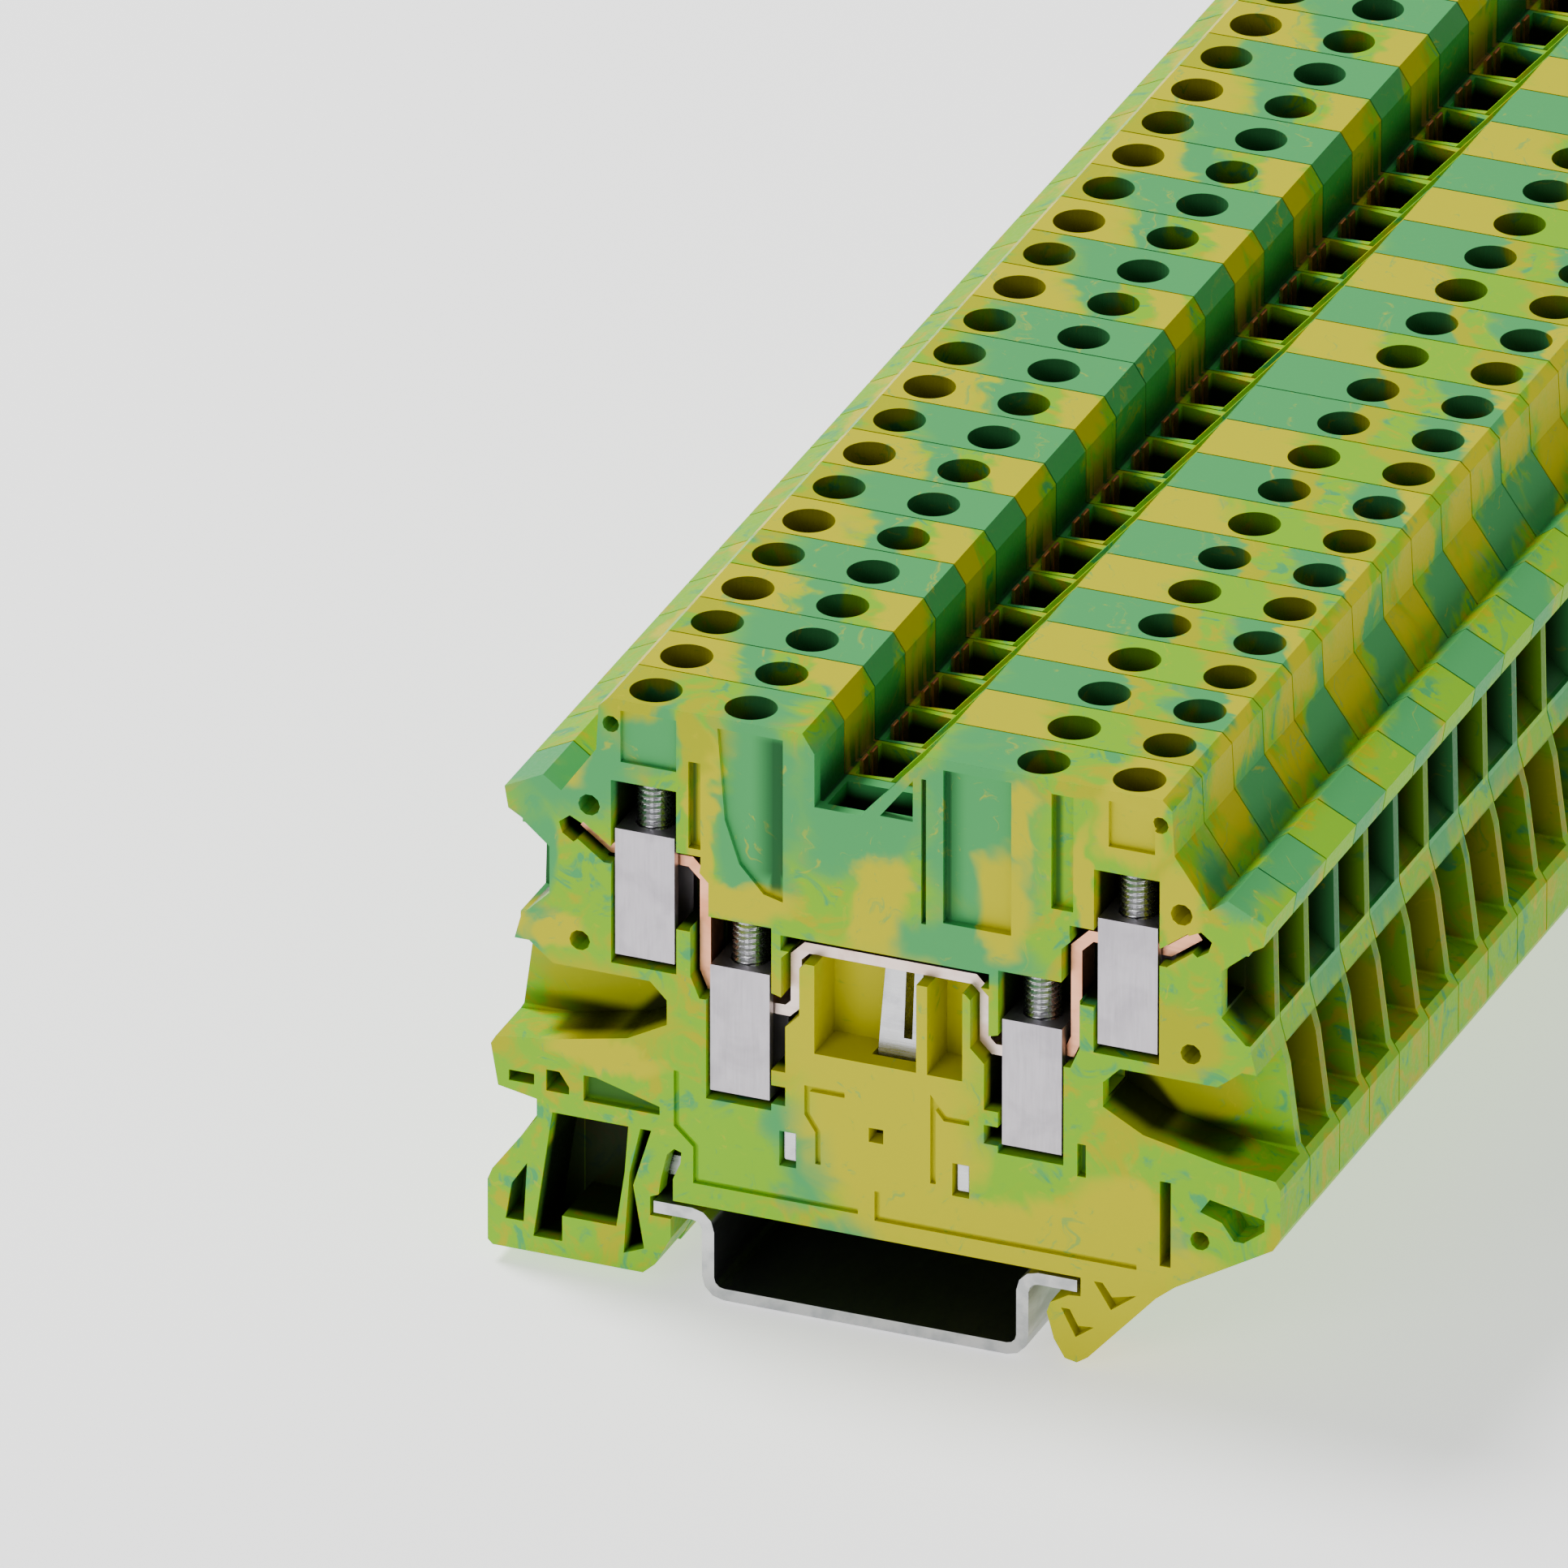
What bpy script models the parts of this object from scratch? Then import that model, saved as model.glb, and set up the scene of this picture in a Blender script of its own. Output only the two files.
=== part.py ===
"""A strip of four-clamp protective-earth terminal blocks on a 35 mm top-hat rail.

Units: the sizes below are millimetres, and every mesh is made in metres.
Frame: X runs across the rail, Y along it (away from the open face of the first block), Z up.
The origin is the middle of the rail's underside.  Heights called z are above that underside.
"""

import math

import bmesh
import bpy
from mathutils import Matrix, Vector

MM = 0.001

# ---------------------------------------------------------------- driving dimensions (mm)
BLOCKS = 25            # blocks in the strip
PITCH = 6.2            # one block along the rail
SEAM = 0.15            # gap between neighbouring blocks
BACK_WALL = 0.9        # closed side of a block
FRONT_SKIN = 1.2       # plastic in front of a wire tunnel
TOP = 50.1             # top of the blocks
CENTRE_X = 1.6         # the blocks' middle lies this far off the rail's middle

RAIL_WIDTH = 35.0
RAIL_HEIGHT = 7.5
RAIL_SHEET = 1.0       # thickness of the rail's sheet steel
RAIL_CHANNEL = 27.0    # over the outsides of the rail's two upright walls
RAIL_BEND = 0.8        # inner radius of the rail's bends
RAIL_SPARE = 5.6       # rail left over behind the last block
RAIL_SLOT_WIDTH = 6.2
RAIL_SLOT_LENGTH = 15.0
RAIL_SLOT_PITCH = 25.0

OUTER_CLAMP_X = 19.9   # clamp axes, from the blocks' middle
INNER_CLAMP_X = 12.05
OUTER_CLAMP_Z = 20.6   # underside of an open clamp cage, above the rail's lips
INNER_CLAMP_Z = 10.4
CAGE_WIDTH = 4.9
CAGE_HEIGHT = 10.8
CAGE_DEPTH = 4.6
CAGE_SIDE = 0.75
CAGE_FLOOR = 0.9
CAGE_ROOF = 1.5        # threaded roof of the cage
CAGE_TRAVEL = 3.8      # how far turning the screw lifts the cage

SCREW_SHANK_R = 1.45
SCREW_HEAD_R = 1.75
SCREW_HEAD_HEIGHT = 1.8
SCREW_SLOT_WIDTH = 0.6
SCREW_SLOT_DEPTH = 0.9
GUIDE_HOLE_R = 2.0     # screwdriver hole in the top of a block

BAR = 0.9              # thickness of the current bars
BAR_WIDTH = 2.6        # their size along the rail
BRIDGE_CREST = 23.6    # middle of the centre bar's raised part, above the rail's lips
FOOT_PLATE = 1.2       # thickness of the earthing foot

TROUGH = (-4.2, 4.6)   # the bridge trough in the top, left and right
TROUGH_DEPTH = 6.1
BRIDGE_SHAFT_DEPTH = 8.0

CLEAR = 0.3            # gap between pieces that touch
CAGE_CLEAR = 0.25      # running gap round a cage
THREAD_CLEAR = 0.15    # gap between a shank and the cage's hole
ROUND_STEPS = 12       # sides of a round hole or shank
ROW_HOLE_STEPS = 8     # sides of a guide hole behind the first block

# ---------------------------------------------------------------- places worked out from them
LIP = RAIL_HEIGHT                              # top of the rail's lips, where the blocks sit
THICKNESS = PITCH - SEAM
RAIL_LENGTH = BLOCKS * PITCH + RAIL_SPARE
FRONT = -RAIL_LENGTH / 2                       # open face of the first block, flush with the rail's end
POCKET_DEPTH = THICKNESS - BACK_WALL           # from a block's open face to its closed wall
CAGE_Y = CAGE_CLEAR + CAGE_DEPTH / 2           # clamp axis, from a block's open face
HALF_RAIL = RAIL_WIDTH / 2
UPPER = TOP - LIP                              # height of the blocks above the lips

CHANNEL_DEPTH = CAGE_Y + BAR_WIDTH / 2 + 0.5   # depth of the channels the bars lie in
CHAMBER_UNDER = 0.7                            # free space under an open cage
CHAMBER_OVER = CAGE_TRAVEL + 0.4               # and over it
SEAT = 1.0                                     # wall between a chamber and its guide hole
FOOT_FROM = CAGE_Y - FOOT_PLATE / 2            # front of the earthing foot, from the open face
FOOT_REACH = HALF_RAIL + CLEAR + 1.2           # how far its claws reach past the rail's middle

SOLIDS = bpy.data.collections.new("terminal_strip")
CUTTERS = bpy.data.collections.new("cutters")


# ---------------------------------------------------------------- materials
def material(name, colour, roughness, metallic=0.0):
    made = bpy.data.materials.new(name)
    made.use_nodes = True
    shader = made.node_tree.nodes["Principled BSDF"]
    shader.inputs["Base Color"].default_value = (*colour, 1.0)
    shader.inputs["Roughness"].default_value = roughness
    shader.inputs["Metallic"].default_value = metallic
    return made


def make_materials():
    return {
        "housing": material("earth_green_yellow", (0.42, 0.62, 0.12), 0.45),
        "zinc": material("zinc_plated_steel", (0.72, 0.72, 0.74), 0.32, 1.0),
        "cage": material("nickel_plated_cage", (0.78, 0.76, 0.80), 0.38, 1.0),
        "copper": material("tinned_copper", (0.86, 0.70, 0.62), 0.30, 1.0),
        "rail": material("passivated_rail", (0.70, 0.71, 0.73), 0.35, 1.0),
    }


# ---------------------------------------------------------------- modelling helpers
def link(obj, collection, surface=None):
    collection.objects.link(obj)
    if surface is not None:
        obj.data.materials.clear()
        obj.data.materials.append(surface)
    if collection is CUTTERS:
        obj.hide_render = True
        obj.display_type = "WIRE"
    return obj


def plate_mesh(name, outlines, thickness):
    """A flat solid: closed outlines in X and Z (the first is the edge, the others are holes), thick along Y."""
    curve = bpy.data.curves.new(name, "CURVE")
    curve.dimensions = "2D"
    curve.fill_mode = "BOTH"
    curve.extrude = thickness * MM / 2
    for outline in outlines:
        spline = curve.splines.new("POLY")
        spline.points.add(len(outline) - 1)
        for point, (x, z) in zip(spline.points, outline):
            point.co = (x * MM, z * MM, 0.0, 1.0)
        spline.use_cyclic_u = True
    guide = bpy.data.objects.new(name, curve)
    bpy.context.scene.collection.objects.link(guide)
    bpy.context.view_layer.update()
    graph = bpy.context.evaluated_depsgraph_get()
    mesh = bpy.data.meshes.new_from_object(guide.evaluated_get(graph))
    bpy.data.objects.remove(guide)
    bpy.data.curves.remove(curve)
    solid = bmesh.new()
    solid.from_mesh(mesh)
    bmesh.ops.remove_doubles(solid, verts=solid.verts, dist=1e-6)
    bmesh.ops.transform(solid, matrix=Matrix.Rotation(math.pi / 2, 4, "X"), verts=solid.verts)
    bmesh.ops.recalc_face_normals(solid, faces=solid.faces)
    solid.to_mesh(mesh)
    solid.free()
    return mesh


def plate(name, outlines, y_from, y_to, collection, surface=None):
    """A plate between two distances behind the first block's open face."""
    obj = bpy.data.objects.new(name, plate_mesh(name, outlines, y_to - y_from))
    obj.location = (0.0, (FRONT + (y_from + y_to) / 2) * MM, 0.0)
    return link(obj, collection, surface)


def pocket(name, outline, depth=POCKET_DEPTH):
    """A cutter that opens at the open face and goes depth deep."""
    return plate(name, [outline], -1.0, depth, CUTTERS)


def box(name, x_range, y_range, z_range, collection, surface=None):
    """A box; y_range is measured from the first block's open face."""
    shape = bmesh.new()
    bmesh.ops.create_cube(shape, size=1.0)
    spans = [x_range, (FRONT + y_range[0], FRONT + y_range[1]), z_range]
    bmesh.ops.scale(shape, vec=[(high - low) * MM for low, high in spans], verts=shape.verts)
    mesh = bpy.data.meshes.new(name)
    shape.to_mesh(mesh)
    shape.free()
    obj = bpy.data.objects.new(name, mesh)
    obj.location = [(low + high) / 2 * MM for low, high in spans]
    return link(obj, collection, surface)


def column(name, radius, x, y, z_range, collection, surface=None, steps=ROUND_STEPS):
    """An upright cylinder; its object's origin is on its axis."""
    shape = bmesh.new()
    bmesh.ops.create_cone(
        shape,
        cap_ends=True,
        segments=steps,
        radius1=radius * MM,
        radius2=radius * MM,
        depth=(z_range[1] - z_range[0]) * MM,
    )
    mesh = bpy.data.meshes.new(name)
    shape.to_mesh(mesh)
    shape.free()
    obj = bpy.data.objects.new(name, mesh)
    obj.location = (x * MM, (FRONT + y) * MM, sum(z_range) / 2 * MM)
    return link(obj, collection, surface)


def cut(obj, cutters):
    """Takes the cutters out of obj, one after another."""
    for cutter in cutters:
        boolean = obj.modifiers.new("cut_" + cutter.name, "BOOLEAN")
        boolean.operation = "DIFFERENCE"
        boolean.solver = "EXACT"
        boolean.object = cutter
    return obj


def join(obj, others):
    for other in others:
        boolean = obj.modifiers.new("join_" + other.name, "BOOLEAN")
        boolean.operation = "UNION"
        boolean.solver = "EXACT"
        boolean.object = other
    return obj


def settled_mesh(obj):
    """The object's shape with its modifiers applied, for copies to share."""
    bpy.context.view_layer.update()
    graph = bpy.context.evaluated_depsgraph_get()
    return bpy.data.meshes.new_from_object(obj.evaluated_get(graph))


def mirrored(points):
    """The same outline on the other side of the blocks' middle."""
    return [(2 * CENTRE_X - x, z) for x, z in reversed(points)]


def rectangle(x_from, x_to, z_from, z_to):
    return [(x_from, z_from), (x_to, z_from), (x_to, z_to), (x_from, z_to)]


def circle(x, z, radius, steps=ROUND_STEPS):
    turns = [2 * math.pi * i / steps for i in range(steps)]
    return [(x + radius * math.cos(t), z + radius * math.sin(t)) for t in turns]


def above_lip(points):
    return [(x, LIP + z) for x, z in points]


def strip_outline(path, thickness):
    """The outline of a bent strip of even thickness that follows path."""
    half = thickness / 2
    sides = ([], [])
    for i, point in enumerate(path):
        here = Vector(point)
        before = (here - Vector(path[i - 1])).normalized() if i else None
        after = (Vector(path[i + 1]) - here).normalized() if i + 1 < len(path) else None
        first, second = before or after, after or before
        across = Vector((-first.y - second.y, first.x + second.x)).normalized()
        reach = half / across.dot(Vector((-first.y, first.x)))
        sides[0].append(tuple(here + across * reach))
        sides[1].append(tuple(here - across * reach))
    return sides[0] + sides[1][::-1]


def arc(centre, radius, start, end, steps=3):
    """Points on an arc in X and Z, angles in degrees."""
    turns = [math.radians(start + (end - start) * i / steps) for i in range(steps + 1)]
    return [(centre[0] + radius * math.cos(t), centre[1] + radius * math.sin(t)) for t in turns]


# ---------------------------------------------------------------- rail
def make_rail(surface):
    """The top-hat rail: two lips, two walls and a slotted base, bent from one sheet."""
    inner, outer = RAIL_BEND, RAIL_BEND + RAIL_SHEET
    wall = RAIL_CHANNEL / 2
    right = [(HALF_RAIL, LIP), *arc((wall + inner, LIP - outer), outer, 90, 180)]
    right += arc((wall - outer, outer), inner, 0, -90)
    right_under = arc((wall - outer, outer), outer, -90, 0)
    right_under += [*arc((wall + inner, LIP - outer), inner, 180, 90), (HALF_RAIL, LIP - RAIL_SHEET)]
    left = [(-x, z) for x, z in reversed(right)]
    left_under = [(-x, z) for x, z in reversed(right_under)]
    rail = plate("rail", [right + left + left_under + right_under], 0.0, RAIL_LENGTH, SOLIDS, surface)
    slots = int((RAIL_LENGTH - RAIL_SLOT_LENGTH) // RAIL_SLOT_PITCH)
    slots -= slots % 2
    end_r = RAIL_SLOT_WIDTH / 2
    straight = RAIL_SLOT_LENGTH / 2 - end_r
    for i in range(slots):
        middle = (i - (slots - 1) / 2) * RAIL_SLOT_PITCH + RAIL_LENGTH / 2
        slot = box(f"rail_slot_{i + 1}", (-end_r, end_r), (middle - straight, middle + straight),
                   (-1.0, RAIL_SHEET + 1.0), CUTTERS)
        ends = [column(f"rail_slot_{i + 1}_end_{side}", end_r, 0.0, middle + side * straight,
                       (-1.0, RAIL_SHEET + 1.0), CUTTERS) for side in (-1, 1)]
        cut(rail, [slot, *ends])
    return rail


# ---------------------------------------------------------------- housing
def shoulder_and_mouths():
    """The right edge of a block from the foot of its wire mouths up to the top, relative to the lips."""
    return [
        (34.2, 11.0), (33.5, 12.2), (32.6, 19.0), (31.7, 22.4), (31.5, 30.9), (32.7, 31.6), (33.0, 33.4),
        (29.8, UPPER - 7.6), (28.3, UPPER - 8.7), (25.4, UPPER - 4.6), (25.2, UPPER - 0.8), (24.4, UPPER),
    ]


def housing_outline():
    """The edge of a block, anticlockwise from the left foot."""
    under_lip = -RAIL_SHEET - CLEAR
    notch = HALF_RAIL + CLEAR
    left_foot = [
        (-31.3, -6.0), (-30.9, -6.4), (-18.4, -6.4), (-17.4, -5.5), (-16.1, -3.0), (-16.1, under_lip),
        (-notch, under_lip), (-notch, CLEAR), (-17.1, 0.6), (-16.9, 2.0), (-16.4, 4.2), (-15.8, 4.8),
        (-15.2, 4.6), (-15.3, 3.6), (-15.9, 2.2), (-15.9, CLEAR),
    ]
    right_foot = [
        (notch, CLEAR), (notch, under_lip), (16.8, under_lip - 0.1), (15.3, -2.3), (15.0, -3.2), (15.6, -5.4),
        (16.5, -6.9), (17.5, -7.1), (18.4, -6.5), (24.0, -0.3), (25.6, 1.0), (33.6, 5.7), (34.2, 6.8),
    ]
    left_lug = [(-30.4, 7.5), (-27.2, 6.9), (-27.2, 5.2), (-30.9, 0.2), (-31.3, -0.8)]
    return finish_outline(left_foot, right_foot, left_lug)


def row_outline():
    """The same edge with fewer corners, for the blocks behind the first."""
    under_lip = -RAIL_SHEET - CLEAR
    notch = HALF_RAIL + CLEAR
    left_foot = [
        (-31.3, -6.4), (-17.8, -6.4), (-16.1, -3.0), (-16.1, under_lip), (-notch, under_lip), (-notch, CLEAR),
    ]
    right_foot = [
        (notch, CLEAR), (notch, under_lip), (16.0, under_lip), (15.0, -3.2), (16.9, -7.1), (24.0, -0.3),
        (33.6, 5.7), (34.2, 6.8),
    ]
    left_lug = [(-30.4, 7.2), (-27.2, 6.0), (-31.3, -0.4)]
    return finish_outline(left_foot, right_foot, left_lug)


def finish_outline(left_foot, right_foot, left_lug):
    trough = [
        (TROUGH[1] + 0.4, UPPER), (TROUGH[0] + 3.8, UPPER - TROUGH_DEPTH), (TROUGH[0], UPPER - TROUGH_DEPTH),
        (TROUGH[0], UPPER - 1.6), (TROUGH[0] - 1.0, UPPER),
    ]
    sides = shoulder_and_mouths()
    return above_lip(left_foot + right_foot + sides + trough + mirrored(sides) + left_lug)


def foot_hole():
    """The large hole in the snap foot, which lets it bend over the rail's lip."""
    return above_lip([
        (-27.5, -5.0), (-25.1, -5.0), (-25.1, -2.8), (-20.6, -2.8), (-19.9, 2.0), (-19.6, 6.0), (-25.9, 6.0),
        (-26.5, 2.0),
    ])


def foot_slot():
    """The narrow slot beside the hook, which springs when the foot snaps over the lip."""
    return above_lip([(-20.0, -5.0), (-18.3, -4.3), (-19.2, 1.0), (-17.7, 6.0), (-18.6, 6.0), (-19.5, 2.0)])


def wire_funnels():
    """The four wire entries of a block, open at its open face: two upper mouths and two lower ones."""
    upper = above_lip([(29.3, 24.9), (31.3, 22.9), (36.0, 22.9), (36.0, 30.6), (31.3, 30.6), (29.3, 28.9)])
    lower = above_lip([
        (19.6, 15.4), (22.9, 13.6), (29.2, 12.3), (36.0, 11.4), (36.0, 20.5), (31.0, 20.5), (29.0, 18.9),
        (21.0, 18.9), (19.6, 17.5),
    ])
    return {
        "upper_right": upper,
        "lower_right": lower,
        "upper_left": mirrored(upper),
        "lower_left": mirrored(lower),
    }


def clamp_places():
    """Name, axis x and cage underside of each clamp, left to right."""
    return [
        ("outer_left", CENTRE_X - OUTER_CLAMP_X, LIP + OUTER_CLAMP_Z),
        ("inner_left", CENTRE_X - INNER_CLAMP_X, LIP + INNER_CLAMP_Z),
        ("inner_right", CENTRE_X + INNER_CLAMP_X, LIP + INNER_CLAMP_Z),
        ("outer_right", CENTRE_X + OUTER_CLAMP_X, LIP + OUTER_CLAMP_Z),
    ]


def shared_cutters(steps):
    """What is cut from every block: guide holes, wire funnels and the bridge shaft in the trough."""
    cutters = [pocket(f"funnel_{name}", outline, POCKET_DEPTH - 0.1) for name, outline in wire_funnels().items()]
    for name, x, floor in clamp_places():
        seat = floor + CAGE_HEIGHT + CHAMBER_OVER + SEAT
        cutters.append(column(f"guide_{name}", GUIDE_HOLE_R, x, CAGE_Y, (seat, TOP + 1.0), CUTTERS, steps=steps))
    left, right = TROUGH
    floor = TOP - TROUGH_DEPTH
    rim = 0.8
    cutters.append(box("trough_behind_rim", (left + 0.3, right - 0.1), (rim, THICKNESS + 1.0), (floor, TOP + 1.0),
                       CUTTERS))
    cutters.append(box("bridge_shaft", (left + 0.7, right - 0.5), (rim + 0.1, POCKET_DEPTH - 0.2),
                       (floor - BRIDGE_SHAFT_DEPTH, floor + 1.0), CUTTERS))
    return cutters


def clamp_cutters():
    """Chambers for the cages, necks for the shanks and tunnels for the wires, behind the front skin."""
    cutters = []
    half = CAGE_WIDTH / 2 + CAGE_CLEAR
    for name, x, floor in clamp_places():
        roof = floor + CAGE_HEIGHT + CHAMBER_OVER
        outline = rectangle(x - half, x + half, floor - CHAMBER_UNDER, roof)
        cutters.append(pocket(f"chamber_{name}", outline))
        neck_r = SCREW_SHANK_R + THREAD_CLEAR
        cutters.append(column(f"neck_{name}", neck_r, x, CAGE_Y, (roof - 0.5, roof + SEAT + 0.5), CUTTERS))
    tunnels = {
        "upper": (CENTRE_X + OUTER_CLAMP_X, 29.6, 25.2, 28.5),
        "lower": (CENTRE_X + INNER_CLAMP_X, 19.9, 15.7, 17.2),
    }
    for name, (x_from, x_to, z_from, z_to) in tunnels.items():
        depths = (FRONT_SKIN, POCKET_DEPTH - 0.4)
        heights = (LIP + z_from, LIP + z_to)
        cutters.append(box(f"tunnel_{name}_right", (x_from, x_to), depths, heights, CUTTERS))
        other_side = (2 * CENTRE_X - x_to, 2 * CENTRE_X - x_from)
        cutters.append(box(f"tunnel_{name}_left", other_side, depths, heights, CUTTERS))
    return cutters


def bar_cutters():
    """Channels that follow the current bars, and the recesses round them in the open face."""
    wide = BAR + 2 * CLEAR
    link_path, bridge_path = bar_paths()
    link_outline = strip_outline(link_path, wide)
    outlines = {
        "link_left": link_outline,
        "link_right": mirrored(link_outline),
        "bridge": strip_outline(bridge_path, wide),
    }
    cutters = [pocket(f"channel_{name}", outline, CHANNEL_DEPTH) for name, outline in outlines.items()]
    riser = bridge_path[2][0]
    recesses = {
        "link": above_lip([(-15.9, 30.4), (-15.9, 23.8), (-14.5, 23.8), (-13.6, 29.6), (-13.6, 30.4)]),
        "tip": above_lip([(-25.3, 31.2), (-24.4, 31.9), (-22.6, 31.0), (-24.1, 29.7), (-25.0, 30.3)]),
        "riser": above_lip([(-8.0, 13.2), (riser - 0.4, 13.2), (riser - 0.4, 19.5), (-8.0, 19.9)]),
        "notch": above_lip(rectangle(-8.0, riser - 0.4, 10.3, 11.9)),
    }
    for name, outline in recesses.items():
        cutters.append(pocket(f"{name}_left", outline, CHANNEL_DEPTH - 0.1))
        cutters.append(pocket(f"{name}_right", mirrored(outline), CHANNEL_DEPTH - 0.1))
    top = BRIDGE_CREST + BAR / 2
    over_bar = rectangle(riser - 0.8, 2 * CENTRE_X - riser + 0.8, top - 0.4, top + 0.9)
    cutters.append(pocket("over_bar", above_lip(over_bar), CHANNEL_DEPTH + 0.1))
    under = BRIDGE_CREST - BAR / 2
    cutters.append(pocket("fork_bay", above_lip(rectangle(-4.2, 4.2, 15.3, under)), CHANNEL_DEPTH - 0.2))
    cutters.append(pocket("right_bay", above_lip(rectangle(5.1, 8.0, 15.3, under)), 4.1))
    return cutters


def foot_cutters():
    """Room for the earthing foot, which goes in from the closed side."""
    front, back = FOOT_FROM - CLEAR, THICKNESS + 1.0
    reach = FOOT_REACH + CLEAR
    lip_gap = HALF_RAIL - 0.8
    rooms = {
        "stem": (-0.1, 4.4, 9.0, 16.0),
        "yoke": (-8.4, 9.6, 1.2, 9.8),
        "arms": (-reach, reach, 1.2, 3.6),
        "left_claw": (-reach, -lip_gap, -3.3, 2.4),
        "right_claw": (lip_gap, reach, -3.3, 2.4),
    }
    return [
        box(f"room_for_{name}", (x_from, x_to), (front, back), (LIP + z_from, LIP + z_to), CUTTERS)
        for name, (x_from, x_to, z_from, z_to) in rooms.items()
    ]


def face_cutters():
    """The shallow relief and the small holes moulded into the open face."""
    shallow, deep = 0.7, 3.0
    shaft = [(-12.2, UPPER - 0.9), (-11.6, 34.0), (-10.4, 30.4), (-8.4, 28.2), (-6.8, 27.8), (-6.8, UPPER - 0.9)]
    relief = {
        "trough_cell": ([(1.2, UPPER - 5.8), (3.9, UPPER - 5.8), (3.9, UPPER - 2.3)], 1.3),
        "left_shaft": (shaft, 0.4),
        "left_column": (rectangle(-20.2, -15.6, 37.3, UPPER - 0.9), 0.4),
        "left_slit": (rectangle(-14.6, -13.6, 31.0, 38.4), shallow),
        "right_shaft": (rectangle(6.4, 12.0, 28.6, UPPER - 0.9), shallow),
        "right_groove": (rectangle(4.6, 5.0, 28.2, UPPER - 2.0), shallow),
        "right_slit": (rectangle(15.3, 17.1, 31.6, UPPER - 1.2), shallow),
        "right_column": (rectangle(20.0, 23.8, 37.8, UPPER - 0.9), 0.4),
        "window_left": (rectangle(-7.1, -5.7, 5.1, 8.1), FRONT_SKIN + 1.0),
        "window_right": (rectangle(7.2, 8.6, 5.3, 8.1), FRONT_SKIN + 1.0),
        "window_middle": (rectangle(0.3, 1.5, 8.6, 9.8), FRONT_SKIN + 1.0),
        "slot_17": (rectangle(17.5, 18.2, 9.0, 11.8), shallow),
        "slot_24": (rectangle(24.3, 25.2, 2.6, 9.9), deep),
        "lug_slot_1": (rectangle(-29.5, -27.4, 8.1, 9.0), deep),
        "lug_slot_2": ([(-26.4, 7.8), (-24.5, 7.8), (-24.5, 8.4), (-25.3, 9.6), (-26.4, 9.6)], deep),
        "lug_slot_3": ([(-23.3, 7.5), (-17.0, 7.5), (-17.0, 8.2), (-22.3, 9.7), (-23.3, 9.7)], shallow),
        "foot_pocket": ([(-29.8, -3.9), (-28.3, -3.9), (-28.0, 1.2), (-29.3, -0.8)], deep),
        "corner_pocket": ([(27.6, 7.9), (29.4, 7.3), (30.4, 5.9), (31.2, 5.9), (32.9, 7.2), (32.9, 8.2), (28.4, 9.1)],
                          deep),
        "claw_pocket_1": ([(18.9, 0.2), (20.3, -2.0), (22.4, -0.4), (20.4, -0.9), (19.6, 0.2)], 1.0),
        "claw_pocket_2": ([(16.2, -2.6), (17.4, -4.9), (18.9, -3.8), (17.6, -3.9), (16.9, -2.6)], 1.0),
    }
    step_lines = {
        "step_left": [(-15.6, 11.6), (-15.6, 6.9), (-14.0, 5.4), (-14.0, 2.4), (-0.6, 2.4)],
        "step_middle": [(-1.7, 12.2), (-4.8, 12.2), (-4.8, 10.0), (-3.9, 8.6), (-3.9, 5.8)],
        "step_right": [(8.6, 11.8), (6.6, 11.8), (5.6, 13.0), (5.6, 6.0)],
        "step_bottom": [(1.0, 4.4), (1.0, 2.1), (22.4, 2.1)],
    }
    for name, path in step_lines.items():
        relief[name] = (strip_outline(path, 0.45), 0.4)
    cutters = [pocket(name, above_lip(outline), depth) for name, (outline, depth) in relief.items()]
    holes = {"top": (22.6, UPPER - 2.2, 0.7), "nose": (24.4, 33.1, 0.9), "cage": (25.2, 21.3, 0.85)}
    for name, (from_middle, z, radius) in holes.items():
        for side in (-1, 1):
            outline = circle(CENTRE_X + side * from_middle, LIP + z, radius, 10)
            cutters.append(pocket(f"hole_{name}_{side}", outline, deep))
    cutters.append(pocket("hole_ring", circle(27.6, LIP + 5.4, 0.8, 10), deep))
    return cutters


def make_housings(surface):
    """The first block with all its inner rooms, then the rest of the row with what shows of theirs."""
    holes = [foot_hole(), foot_slot()]
    first = plate("housing_01", [housing_outline(), *holes], 0.0, THICKNESS, SOLIDS, surface)
    cut(first, [*shared_cutters(ROUND_STEPS), *clamp_cutters(), *bar_cutters(), *foot_cutters(), *face_cutters()])
    pattern = plate("row_housing", [row_outline()], 0.0, THICKNESS, CUTTERS)
    cut(pattern, shared_cutters(ROW_HOLE_STEPS))
    mesh = settled_mesh(pattern)
    mesh.materials.clear()
    mesh.materials.append(surface)
    for i in range(1, BLOCKS):
        copy = bpy.data.objects.new(f"housing_{i + 1:02d}", mesh)
        copy.location = (0.0, (FRONT + i * PITCH + THICKNESS / 2) * MM, 0.0)
        SOLIDS.objects.link(copy)


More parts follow.
